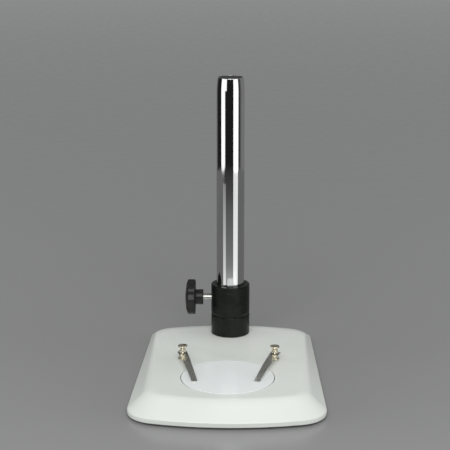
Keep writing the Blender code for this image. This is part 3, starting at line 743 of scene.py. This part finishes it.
def upper_ring():
    low_corner, high_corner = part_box("clamp_collar")
    low = low_corner.z - DECK_Z
    high = high_corner.z - DECK_Z
    profile = [(COLLAR_BORE, low + 0.0006), (COLLAR_BORE + 0.0006, low),
               (COLLAR_RADIUS - 0.0009, low, 0.0002), (COLLAR_RADIUS, low + 0.0020, 0.0008)]
    profile += list(reversed(groove(0.00012, 0.0004, high - 0.0062)))
    profile += [(COLLAR_RADIUS, high - 0.0010, 0.0004), (COLLAR_RADIUS - 0.0010, high, 0.0004),
                (COLLAR_BORE + 0.0006, high, 0.0002), (COLLAR_BORE, high - 0.0006)]
    ring = turned("upper_ring", soften(profile, 5), (0.0, PILLAR_Y, DECK_Z), "black_anodised", 192)
    mouth = COLLAR_RADIUS - 0.0010
    end = COLLAR_RADIUS + 0.0006
    hole = [(0.0, 0.010), (STUD_BORE, 0.010), (STUD_BORE, mouth), (STUD_BORE + end - mouth, end), (0.0, end)]
    bore = turned("stud_bore", hole, (0.0, PILLAR_Y, CLAMP_Z), "bare_aluminium", 64, (0.0, -math.pi / 2, 0.0))
    combine(ring, bore, sharp=24.0)
    even_normals(ring)
    stands_for(ring, "collar", "black_anodised", "clamp_collar")
    washer_low, washer_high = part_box("collar_washer")
    outer = (washer_high.x - washer_low.x) / 2
    profile = soften([(COLLAR_BORE, washer_low.z), (outer, washer_low.z, 0.0001),
                      (outer, washer_high.z, 0.0001), (COLLAR_BORE, washer_high.z)], 3)
    turned_for("collar_washer", "slip_ring", profile, (0.0, PILLAR_Y, 0.0), "nylon", 160, "collar_carrier")


def lobed_ring(radius, flute, height, count=240):
    """A ring of points whose radius dips by the flute depth between the lobes."""
    ring = []
    for i in range(count):
        turn = 2 * math.pi * i / count
        dip = flute * (0.5 - 0.5 * math.cos(KNOB_LOBES * turn)) ** 1.5
        ring.append(((radius - dip) * math.cos(turn), (radius - dip) * math.sin(turn), height))
    return ring


def clamp_knob():
    """Hub, lobed disc and domed front, lofted from the pillar side outwards."""
    low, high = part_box("clamp_knob")
    hub_face = -high.x
    front = -low.x
    back = hub_face + KNOB_HUB_LENGTH
    shoulder = front - KNOB_DOME
    corners = soften([(0.0030, hub_face), (KNOB_HUB_RADIUS, hub_face, 0.0007),
                      (KNOB_HUB_RADIUS - 0.0003, back - 0.0002, 0.0007),
                      (KNOB_RADIUS, back, 0.0012), (KNOB_RADIUS, shoulder, 0.0016),
                      (KNOB_RADIUS - 0.0058, front - 0.0013, 0.0100), (0.0030, front)], 7)
    rings = []
    for radius, height in corners:
        share = min(1.0, max(0.0, (radius - KNOB_HUB_RADIUS - 0.0012) / 0.0075))
        rings.append(lobed_ring(radius, KNOB_FLUTE * share ** 1.3, height))
    at = (0.0, PILLAR_Y, CLAMP_Z)
    left = (0.0, -math.pi / 2, 0.0)
    knob = lofted("lobed_knob", rings, at, "black_plastic", left)
    end = back + KNOB_SOCKET_DEPTH
    socket = turned("socket", [(0.0, hub_face - OVERCUT), (0.0052, hub_face - OVERCUT),
                               (0.0046, hub_face + 0.0006), (STUD_BORE, hub_face + 0.0010),
                               (STUD_BORE, end), (0.0, end)], at, "black_plastic", 64, left)
    combine(knob, socket, sharp=35.0)
    even_normals(knob)
    stands_for(knob, "clamp_handle", "black_plastic", "clamp_knob")


def clamp_screw():
    """The stud, smooth where it shows and threaded in the collar, and its pressure pad."""
    at = (0.0, PILLAR_Y, CLAMP_Z)
    left = (0.0, -math.pi / 2, 0.0)
    low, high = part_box("clamp_stud")
    near = -high.x
    far = -low.x
    radius = (high.z - low.z) / 2
    thread_end = COLLAR_RADIUS - 0.0016
    start = near + 0.0006
    profile = [(0.0, near), (radius - 0.0008, near), (radius - 0.0002, start)]
    half_turns = int((thread_end - start) / THREAD_PITCH * 2)
    for i in range(half_turns):
        height = start + (i + 1) * THREAD_PITCH / 2
        profile.append((radius - (THREAD_DEPTH if i % 2 else 0.0), height))
    profile += [(radius - 0.0004, thread_end), (radius, thread_end + 0.0004),
                (radius, far - 0.0004), (radius - 0.0004, far), (0.0, far)]
    stud = turned("clamp_screw", profile, at, "polished_steel", 96, left)
    stands_for(stud, "clamp_handle", "chrome", "clamp_stud")
    low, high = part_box("clamp_pad")
    radius = (high.z - low.z) / 2
    profile = soften([(0.0, -high.x), (radius, -high.x, 0.0005), (radius, -low.x, 0.0002), (0.0, -low.x)], 4)
    turned_for("clamp_pad", "pressure_pad", profile, at, "nickel", 64, "clamp_tip", left)


# ---------------------------------------------------------------- stage and clips
def stage_disc():
    low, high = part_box("stage_plate")
    profile = soften([(0.0, low.z), (STAGE_RADIUS, low.z, 0.0004), (STAGE_RADIUS, high.z, 0.00035),
                      (0.0, high.z)], 5)
    disc = turned("stage_disc", profile, (STAGE.x, STAGE.y, 0.0), "plate_white", 256)
    even_normals(disc)
    stands_for(disc, "stage", "plate_white", "stage_plate")


LEAF_HEIGHT = 0.0068          # underside of the leaf at its post, above the deck
LEAF_TIP_HEIGHT = 0.0007      # and at its tip, just clear of the stage plate
LEAF_THICKNESS = 0.0005
LEAF_TAIL = 0.0055
LEAF_REACH = 0.0732
LEAF_FLAT = 0.008             # stays level this far from the post
LEAF_REAR_WIDTH = 0.0110
LEAF_TIP_WIDTH = 0.0063
LEAF_CORNER = 0.0014
LEAF_HOLE = 0.0024
CLIP_BUSH_FLANGE = 0.00515
CLIP_SLEEVE = 0.0031
CLIP_WASHER_RADIUS = 0.0045
CLIP_NUT_FLATS = 0.007


def leaf_drop(along):
    """How far the leaf has bent down at a distance along it from the post."""
    full = LEAF_HEIGHT - LEAF_TIP_HEIGHT
    share = max(0.0, along - LEAF_FLAT) / (LEAF_REACH - LEAF_FLAT)
    return full * share ** 2


def leaf_half_width(along):
    """Half the width, with rounded corners at both ends."""
    share = (along + LEAF_TAIL) / (LEAF_REACH + LEAF_TAIL)
    half = 0.5 * (LEAF_TIP_WIDTH + (LEAF_REAR_WIDTH - LEAF_TIP_WIDTH) * (1 - share) ** 1.6)
    from_end = min(along + LEAF_TAIL, LEAF_REACH - along)
    if from_end < LEAF_CORNER:
        half -= LEAF_CORNER - math.sqrt(max(0.0, LEAF_CORNER ** 2 - (LEAF_CORNER - from_end) ** 2))
    return half


def clip_spring(side, at, turn):
    into_corner = [LEAF_CORNER * (1 - math.cos(i * math.pi / 16)) for i in range(8)]
    straight = LEAF_REACH + LEAF_TAIL - 2 * LEAF_CORNER
    stops = [-LEAF_TAIL + reach for reach in into_corner]
    stops += [-LEAF_TAIL + LEAF_CORNER + straight * i / 64 for i in range(65)]
    stops += [LEAF_REACH - reach for reach in reversed(into_corner)]
    edge = 0.0001
    rings = []
    for along in stops:
        half = leaf_half_width(along)
        low = LEAF_HEIGHT - leaf_drop(along)
        high = low + LEAF_THICKNESS
        section = [(-half + edge, low), (half - edge, low), (half, low + edge), (half, high - edge),
                   (half - edge, high), (-half + edge, high), (-half, high - edge), (-half, low + edge)]
        rings.append([(x, -along, z) for x, z in section])
    leaf = lofted(side + "_leaf_spring", rings, at, "spring_steel", (0.0, 0.0, turn))
    below = LEAF_HEIGHT - OVERCUT
    above = LEAF_HEIGHT + 2 * OVERCUT
    hole = turned("leaf_hole", [(0.0, below), (LEAF_HOLE, below), (LEAF_HOLE, above), (0.0, above)],
                  at, None, 48)
    combine(leaf, hole, sharp=40.0)
    even_normals(leaf)
    stands_for(leaf, side + "_clip_leaf", "spring_steel", side + "_clip_spring")


def stage_clip(side):
    post = middle(side + "_clip_post")
    at = (post.x, post.y, DECK_Z)
    body = side + "_clip"
    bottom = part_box(side + "_clip_post")[0].z - DECK_Z
    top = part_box(side + "_clip_post")[1].z - DECK_Z
    shoulder = LEAF_HEIGHT + LEAF_THICKNESS + GAP
    profile = soften([
        (0.0, bottom), (CLIP_STUD_RADIUS, bottom, 0.0003), (CLIP_STUD_RADIUS, shoulder),
        (0.0036, shoulder, 0.0003), (0.0036, 0.0104, 0.0003), (0.0031, 0.0109, 0.0004),
        (0.0031, 0.0121, 0.0010), (0.0046, 0.0141, 0.0008), (0.0047, 0.0148, 0.0002),
        (0.0053, 0.0150, 0.0002), (0.0053, 0.0160, 0.0005), (0.0030, top - 0.0001), (0.0, top),
    ], 5)
    turned_for(side + "_clip_post", side + "_clip_turned_post", profile, at, "nickel", 96, body)
    sleeve_top = LEAF_HEIGHT - GAP
    profile = soften([(CLIP_BORE, GAP), (CLIP_BUSH_FLANGE, GAP, 0.0003), (CLIP_BUSH_FLANGE, 0.0018, 0.0005),
                      (CLIP_SLEEVE, 0.0018, 0.0006), (CLIP_SLEEVE, sleeve_top, 0.0002),
                      (CLIP_BORE, sleeve_top)], 5)
    turned_for(side + "_clip_bush", side + "_clip_flanged_bush", profile, at, "nickel", 96, body)
    low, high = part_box(side + "_clip_washer")
    profile = soften([(CLIP_BORE, low.z), (CLIP_WASHER_RADIUS, low.z, 0.0002),
                      (CLIP_WASHER_RADIUS, high.z, 0.0002), (CLIP_BORE, high.z)], 3)
    on_table = (post.x, post.y, 0.0)
    turned_for(side + "_clip_washer", side + "_clip_plain_washer", profile, on_table, "zinc_steel", 96, body)
    low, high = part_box(side + "_clip_nut")
    below_nut = low.z - OVERCUT
    above_nut = high.z + OVERCUT
    nut = chamfered_hexagon(side + "_clip_hex_nut", CLIP_NUT_FLATS, low.z, high.z, on_table, "zinc_steel")
    nut.rotation_euler = (0.0, 0.0, CLIP_TURNS[side])
    thread = turned("thread", [(0.0, below_nut), (CLIP_BORE, below_nut), (CLIP_BORE, above_nut),
                               (0.0, above_nut)], on_table, "cut_steel", 48)
    combine(nut, thread, sharp=20.0)
    stands_for(nut, body, "zinc_steel", side + "_clip_nut")
    clip_spring(side, at, CLIP_TURNS[side])


# ---------------------------------------------------------------- carried-over frame pieces
def hidden_plug():
    """The plug inside the pillar's foot keeps its CAD shape."""
    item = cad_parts["pillar_plug"]
    item.data.materials.clear()
    item.data.materials.append(FINISHES["cut_steel"])
    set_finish(item, "zinc_steel")


# ---------------------------------------------------------------- studio
# painted light: the floor's colour runs from the near grey by the stand to the lighter far grey
FLOOR_NEAR = (0.252, 0.254, 0.252)
FLOOR_FAR = (0.66, 0.67, 0.67)
FLOOR_FADE = (0.2, 4.5)       # distances from the pillar between which painted light makes the floor grow lighter
FLOOR_REACH = 14.0
# the glowing disc under the floor, seen only by polished metal: a painted reflection of the table
TABLE_EDGE = 1.0
TABLE_HEIGHT = -0.0005
TABLE_SIDE = 0.15
TABLE_SIDE_FROM = (-0.75, -0.40)        # y of the direction at which the sides' grey starts and is full
# distance from the pillar axis and radiance of the painted reflection, in front of the stand
TABLE_GLOW_GREYS = [(0.29, 0.36), (0.34, 0.23), (0.41, 0.18), (0.52, 0.148), (0.64, 0.118), (0.77, 0.070),
               (0.92, 0.045), (1.0, 0.029)]
# how far a reflected ray points to the back and right, and the radiance it meets there
ROOM_GREYS = [(0.10, 0.013), (0.35, 0.06), (0.64, 0.19)]
ROOM_BACK = (0.45, 1.0, 0.0)
ROOM_LIGHT = (0.45, 0.45, 0.455, 1.0)


def set_greys(ramp, greys):
    """Gives a colour ramp the stops in a list of positions and greys."""
    stops = ramp.color_ramp.elements
    for stop, (position, grey) in zip(stops, (greys[0], greys[-1])):
        stop.position = position
        stop.color = (grey, grey, grey, 1.0)
    for position, grey in greys[1:-1]:
        stops.new(position).color = (grey, grey, grey, 1.0)


def reach_from_axis(tree, coords):
    """Distance of a point of a flat disc from the disc's middle, on the pillar axis."""
    node = tree.nodes.new("ShaderNodeVectorMath")
    node.operation = "LENGTH"
    tree.links.new(coords.outputs["Object"], node.inputs[0])
    return node.outputs["Value"]


def floor_material():
    """Satin grey paper, with painted light that makes its colour grow lighter away from the stand."""
    finish = Finish("floor_grey", (0.26, 0.26, 0.262), 0.3)
    reach = reach_from_axis(finish.material.node_tree, finish.coords)
    # painted light: lighter with distance from the stand
    finish.tint(finish.spread(reach, 0.0, 1.0, *FLOOR_FADE), FLOOR_NEAR, FLOOR_FAR, 0.0, 1.0)
    finish.rough(finish.noise(40.0, 3.0), 0.20, 0.26)
    return finish.material


def table_reflection_glow_material():
    """The glowing disc that polished metal sees in place of the table, a painted reflection: darker with
    distance in front, even grey to the sides.
    """
    material = bpy.data.materials.new("table_reflection_glow")
    material.use_nodes = True
    material.cycles.emission_sampling = "NONE"
    tree = material.node_tree
    nodes = tree.nodes
    links = tree.links
    nodes.remove(nodes["Principled BSDF"])
    coords = nodes.new("ShaderNodeTexCoord")
    share = map_range(tree, reach_from_axis(tree, coords), 0.0, TABLE_EDGE)
    ramp = nodes.new("ShaderNodeValToRGB")
    set_greys(ramp, [(reach / TABLE_EDGE, grey) for reach, grey in TABLE_GLOW_GREYS])
    links.new(share, ramp.inputs["Fac"])
    towards = nodes.new("ShaderNodeVectorMath")
    towards.operation = "NORMALIZE"
    links.new(coords.outputs["Object"], towards.inputs[0])
    split = nodes.new("ShaderNodeSeparateXYZ")
    links.new(towards.outputs["Vector"], split.inputs["Vector"])
    aside = map_range(tree, split.outputs["Y"], *TABLE_SIDE_FROM)
    mix = nodes.new("ShaderNodeMix")
    mix.data_type = "RGBA"
    mix.inputs["B"].default_value = (TABLE_SIDE, TABLE_SIDE, TABLE_SIDE, 1.0)
    links.new(aside, mix.inputs["Factor"])
    links.new(ramp.outputs["Color"], mix.inputs["A"])
    glow = nodes.new("ShaderNodeEmission")
    links.new(mix.outputs["Result"], glow.inputs["Color"])
    links.new(glow.outputs["Emission"], nodes["Material Output"].inputs["Surface"])
    return material


def flat_disc(name, radius, material, height=0.0):
    """A flat disc about the pillar axis."""
    bm = bmesh.new()
    steps = 96
    centre = bm.verts.new((0.0, 0.0, 0.0))
    turns = [2 * math.pi * i / steps for i in range(steps)]
    rim = [bm.verts.new((radius * math.cos(t), radius * math.sin(t), 0.0)) for t in turns]
    for i in range(steps):
        bm.faces.new((centre, rim[i], rim[(i + 1) % steps]))
    disc = place(name, bm, (0.0, PILLAR_Y, height))
    disc.data.materials.append(material)
    disc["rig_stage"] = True
    return disc


def studio():
    """A grey floor that painted light makes lighter away from the stand. Polished metal looks through it at a
    glowing disc, a painted reflection of the table front.
    """
    floor = flat_disc("floor", FLOOR_REACH, floor_material())
    floor.visible_glossy = False
    # painted reflection: a glowing disc under the floor that only polished metal sees
    front = flat_disc("table_reflection_glow", TABLE_EDGE, table_reflection_glow_material(), TABLE_HEIGHT)
    front.visible_camera = False
    front.visible_diffuse = False
    front.visible_shadow = False


# ---------------------------------------------------------------- light
LIGHTS_AIM_Z = 0.06           # height above the table that the lights point at
FAR_CARD = 0.97               # distances of the cards from the pillar
NEAR_CARD = 0.25
SHEEN_CARD = 0.60
POLISHED = ("chrome", "nickel")
SATIN_BLACK = ("black_anodised",)


def softbox(name, azimuth, elevation, distance, width, height, radiance):
    """An area light on a bearing from the stage; azimuth 0 is the camera's side and 90 the right."""
    turn = math.radians(azimuth)
    rise = math.radians(elevation)
    data = bpy.data.lights.new(name, "AREA")
    data.shape = "RECTANGLE"
    data.size = width
    data.size_y = height
    data.energy = radiance * math.pi * width * height
    light = bpy.data.objects.new(name, data)
    bpy.context.scene.collection.objects.link(light)
    out = Vector((math.sin(turn) * math.cos(rise), -math.cos(turn) * math.cos(rise), math.sin(rise)))
    light.location = Vector((0.0, 0.0, LIGHTS_AIM_Z)) + out * distance
    light.rotation_euler = (-out).to_track_quat("-Z", "Y").to_euler()
    light.visible_camera = False
    return light


def strip_card(name, slots, first, last, distance, low, high, radiance):
    """An upright card between two bearings from the pillar, which lights only the pieces in some slots.

    The clamp screw is left out: it shares the chrome's slot, but its finish is satin.
    """
    width = 2 * distance * math.tan(math.radians(last - first) / 2)
    card = softbox(name, (first + last) / 2, 0.0, distance, width, high - low, radiance)
    card.location += Vector((0.0, PILLAR_Y, (low + high) / 2 - LIGHTS_AIM_Z))
    card.visible_diffuse = False
    group = bpy.data.collections.new(name + "_pieces")
    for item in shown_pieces():
        if item.get("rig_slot") in slots and item.name != "clamp_screw":
            group.objects.link(item)
    card.light_linking.receiver_collection = group
    return card


def fade(card, low, high, top_share):
    """Dims a card evenly from full at one height to a share of that at another."""
    card.data.use_nodes = True
    tree = card.data.node_tree
    where = tree.nodes.new("ShaderNodeNewGeometry")
    split = tree.nodes.new("ShaderNodeSeparateXYZ")
    tree.links.new(where.outputs["Position"], split.inputs["Vector"])
    share = map_range(tree, split.outputs["Z"], low, high, 1.0, top_share)
    tree.links.new(share, tree.nodes["Emission"].inputs["Strength"])


def lights():
    """Soft light for the painted and black pieces, and cards that make the strips in the polished ones."""
    softbox("key", azimuth=0.0, elevation=40.0, distance=2.2, width=1.7, height=1.2, radiance=5.0)
    softbox("top", azimuth=0.0, elevation=88.0, distance=1.8, width=1.6, height=1.6, radiance=0.3)
    for side, azimuth, radiance in (("left", -80.0, 2.9), ("right", 80.0, 3.0)):
        fill = softbox(side + "_fill", azimuth, elevation=14.0, distance=1.8, width=1.2, height=0.7,
                       radiance=radiance)
        fill.visible_glossy = False
    strip_card("left_strip", POLISHED, -79.0, -44.0, FAR_CARD, low=-0.2, high=0.9, radiance=1.25)
    strip_card("left_top_strip", POLISHED, -44.0, -31.0, FAR_CARD, low=0.24, high=0.9, radiance=1.25)
    low_strip = strip_card("left_low_strip", POLISHED, -61.0, -37.0, NEAR_CARD, low=0.0, high=0.15,
                           radiance=0.62)
    fade(low_strip, low=0.0, high=0.15, top_share=0.33)
    strip_card("right_strip", POLISHED, 24.0, 66.0, NEAR_CARD, low=0.165, high=0.5, radiance=1.3)
    strip_card("right_low_strip", POLISHED, 24.0, 63.0, NEAR_CARD, low=0.0, high=0.165, radiance=0.85)
    for side, first, last, radiance in (("left", -85.0, -48.0, 1.6), ("right", 25.0, 62.0, 2.5)):
        sheen = strip_card(side + "_sheen", SATIN_BLACK, first, last, SHEEN_CARD, low=-0.45, high=0.35,
                           radiance=radiance)
        sheen.light_linking.blocker_collection = sheen.light_linking.receiver_collection
    room()


def room():
    """Even grey light all round, while polished metal sees a dark room with a grey wall behind."""
    world = bpy.data.worlds.new("room")
    bpy.context.scene.world = world
    world.use_nodes = True
    nodes = world.node_tree.nodes
    links = world.node_tree.links
    even = nodes["Background"]
    even.inputs["Color"].default_value = ROOM_LIGHT
    even.inputs["Strength"].default_value = 1.0
    towards = nodes.new("ShaderNodeTexCoord")
    facing = nodes.new("ShaderNodeVectorMath")
    facing.operation = "DOT_PRODUCT"
    facing.inputs[1].default_value = ROOM_BACK
    links.new(towards.outputs["Generated"], facing.inputs[0])
    ramp = nodes.new("ShaderNodeValToRGB")
    set_greys(ramp, ROOM_GREYS)
    links.new(facing.outputs["Value"], ramp.inputs["Fac"])
    seen = nodes.new("ShaderNodeBackground")
    links.new(ramp.outputs["Color"], seen.inputs["Color"])
    path = nodes.new("ShaderNodeLightPath")
    mix = nodes.new("ShaderNodeMixShader")
    links.new(path.outputs["Is Glossy Ray"], mix.inputs["Fac"])
    links.new(even.outputs["Background"], mix.inputs[1])
    links.new(seen.outputs["Background"], mix.inputs[2])
    links.new(mix.outputs["Shader"], nodes["World Output"].inputs["Surface"])


CAMERA_LENS = 111.42
CAMERA_OFFSET = (0.029707, -1.55877, 0.534720)      # from the foot of the pillar
CAMERA_TURN = (1.316896, 0.0, 0.0231)


def camera():
    data = bpy.data.cameras.new("camera")
    data.lens = CAMERA_LENS
    data.sensor_width = 36.0
    data.clip_start = 0.05
    data.clip_end = 50.0
    item = bpy.data.objects.new("camera", data)
    bpy.context.scene.collection.objects.link(item)
    item.location = (CAMERA_OFFSET[0], PILLAR_Y + CAMERA_OFFSET[1], DECK_Z + CAMERA_OFFSET[2])
    item.rotation_euler = CAMERA_TURN
    bpy.context.scene.camera = item


# ---------------------------------------------------------------- the picture
camera()
base_shell()
for foot_node in FEET:
    foot_and_screw(foot_node)
pillar_fixings()
pillar()
lower_ring()
upper_ring()
clamp_knob()
clamp_screw()
stage_disc()
for clip_side in CLIP_TURNS:
    stage_clip(clip_side)
hidden_plug()
studio()
lights()
bpy.context.scene.view_settings.view_transform = "Standard"
